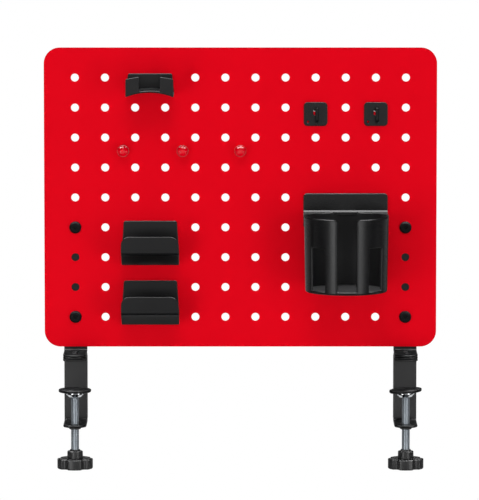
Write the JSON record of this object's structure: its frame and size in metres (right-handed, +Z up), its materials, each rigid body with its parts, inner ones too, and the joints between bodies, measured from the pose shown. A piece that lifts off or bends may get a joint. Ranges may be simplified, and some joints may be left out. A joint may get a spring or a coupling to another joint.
{
  "type": "clamp-on desk pegboard organizer",
  "caption": "Upright perforated steel panel held at a desk edge by two screw clamps, with a headphone holder, gamepad holders, a cup holder, hooks and magnets.",
  "frame": {"origin": "on the desk top's level, midway between the two clamps, at the back face of the panel, on the line of the desk's edge", "axes": "+Z up, -Y to the front, +X to the right seen from the front"},
  "size_m": [0.392, 0.0966, 0.4186],
  "materials": {
    "red_steel": "satin powder coat",
    "black_steel": "satin powder coat",
    "black_plastic": "satin",
    "zinc_steel": "zinc plated",
    "rubber": "matte",
    "red_plastic": "gloss",
    "magnet": "nickel plated"
  },
  "bodies": {
    "stand": {"pegboard_panel": "red_steel", "upper_bracket_left": "black_steel", "clamp_frame_left": "black_steel", "bracket_rivet_left_front": "black_steel", "bracket_rivet_left_rear": "black_steel", "upper_jaw_pad_left": "rubber", "jaw_nut_left": "black_steel", "panel_screw_lower_left": "black_steel", "panel_nut_lower_left": "zinc_steel", "panel_screw_upper_left": "black_steel", "panel_nut_upper_left": "zinc_steel", "upper_bracket_right": "black_steel", "clamp_frame_right": "black_steel", "bracket_rivet_right_front": "black_steel", "bracket_rivet_right_rear": "black_steel", "upper_jaw_pad_right": "rubber", "jaw_nut_right": "black_steel", "panel_screw_lower_right": "black_steel", "panel_nut_lower_right": "zinc_steel", "panel_screw_upper_right": "black_steel", "panel_nut_upper_right": "zinc_steel"},
    "clamp_carrier_left": {"retaining_clip_left": "zinc_steel"},
    "clamp_spindle_left": {"clamp_screw_left": "zinc_steel", "clamp_knob_left": "black_plastic"},
    "swivel_foot_left": {"swivel_cup_left": "zinc_steel", "swivel_pad_left": "black_plastic"},
    "clamp_carrier_right": {"retaining_clip_right": "zinc_steel"},
    "clamp_spindle_right": {"clamp_screw_right": "zinc_steel", "clamp_knob_right": "black_plastic"},
    "swivel_foot_right": {"swivel_cup_right": "zinc_steel", "swivel_pad_right": "black_plastic"},
    "headphone_holder": {"headphone_holder": "black_steel"},
    "gamepad_holder_upper": {"gamepad_holder_upper": "black_steel"},
    "gamepad_holder_lower": {"gamepad_holder_lower": "black_steel"},
    "cup_holder": {"cup_holder": "black_plastic"},
    "small_hook_left": {"small_hook_left": "black_plastic"},
    "small_hook_right": {"small_hook_right": "black_plastic"},
    "magnet_left": {"magnet_disc_left": "magnet", "magnet_knob_left": "red_plastic"},
    "magnet_middle": {"magnet_disc_middle": "magnet", "magnet_knob_middle": "red_plastic"},
    "magnet_right": {"magnet_disc_right": "magnet", "magnet_knob_right": "red_plastic"}
  },
  "joints": [
    {"name": "clamp_slide_left", "type": "slide", "parent": "stand", "child": "clamp_carrier_left", "axis": [0, 0, 1], "range_m": [-0.026, 0.02]},
    {"name": "knob_turn_left", "type": "hinge", "parent": "clamp_carrier_left", "child": "clamp_spindle_left", "pos_m": [-0.165, -0.032, -0.06], "axis": [0, 0, 1], "range_deg": [-7500, 5770]},
    {"name": "pad_lean_left", "type": "hinge", "parent": "clamp_carrier_left", "child": "swivel_foot_left", "pos_m": [-0.165, -0.032, -0.0361], "axis": [0, -1, 0], "range_deg": [-5, 5]},
    {"name": "clamp_slide_right", "type": "slide", "parent": "stand", "child": "clamp_carrier_right", "axis": [0, 0, 1], "range_m": [-0.026, 0.02]},
    {"name": "knob_turn_right", "type": "hinge", "parent": "clamp_carrier_right", "child": "clamp_spindle_right", "pos_m": [0.165, -0.032, -0.06], "axis": [0, 0, 1], "range_deg": [-7500, 5770]},
    {"name": "pad_lean_right", "type": "hinge", "parent": "clamp_carrier_right", "child": "swivel_foot_right", "pos_m": [0.165, -0.032, -0.0361], "axis": [0, -1, 0], "range_deg": [-9, 1]},
    {"name": "headphone_holder_swing", "type": "hinge", "parent": "stand", "child": "headphone_holder", "pos_m": [-0.09, -0.001, 0.2873], "axis": [-1, 0, 0], "range_deg": [0, 60]},
    {"name": "gamepad_holder_upper_swing", "type": "hinge", "parent": "stand", "child": "gamepad_holder_upper", "pos_m": [-0.09, -0.001, 0.1373], "axis": [-1, 0, 0], "range_deg": [0, 60]},
    {"name": "gamepad_holder_lower_swing", "type": "hinge", "parent": "stand", "child": "gamepad_holder_lower", "pos_m": [-0.09, -0.001, 0.0773], "axis": [-1, 0, 0], "range_deg": [0, 40]},
    {"name": "cup_holder_swing", "type": "hinge", "parent": "stand", "child": "cup_holder", "pos_m": [0.105, -0.001, 0.1673], "axis": [-1, 0, 0], "range_deg": [0, 60]},
    {"name": "small_hook_left_swing", "type": "hinge", "parent": "stand", "child": "small_hook_left", "pos_m": [0.075, -0.001, 0.2573], "axis": [-1, 0, 0], "range_deg": [0, 60]},
    {"name": "small_hook_right_swing", "type": "hinge", "parent": "stand", "child": "small_hook_right", "pos_m": [0.135, -0.001, 0.2573], "axis": [-1, 0, 0], "range_deg": [0, 60]},
    {"name": "magnet_left_pull", "type": "slide", "parent": "stand", "child": "magnet_left", "axis": [0, -1, 0], "range_m": [0, 0.03]},
    {"name": "magnet_middle_pull", "type": "slide", "parent": "stand", "child": "magnet_middle", "axis": [0, -1, 0], "range_m": [0, 0.03]},
    {"name": "magnet_right_pull", "type": "slide", "parent": "stand", "child": "magnet_right", "axis": [0, -1, 0], "range_m": [0, 0.03]}
  ],
  "couplings": [
    {"joint": "knob_turn_left", "follows": "clamp_slide_left", "rad_per_m": 5026.5},
    {"joint": "knob_turn_right", "follows": "clamp_slide_right", "rad_per_m": 5026.5}
  ]
}
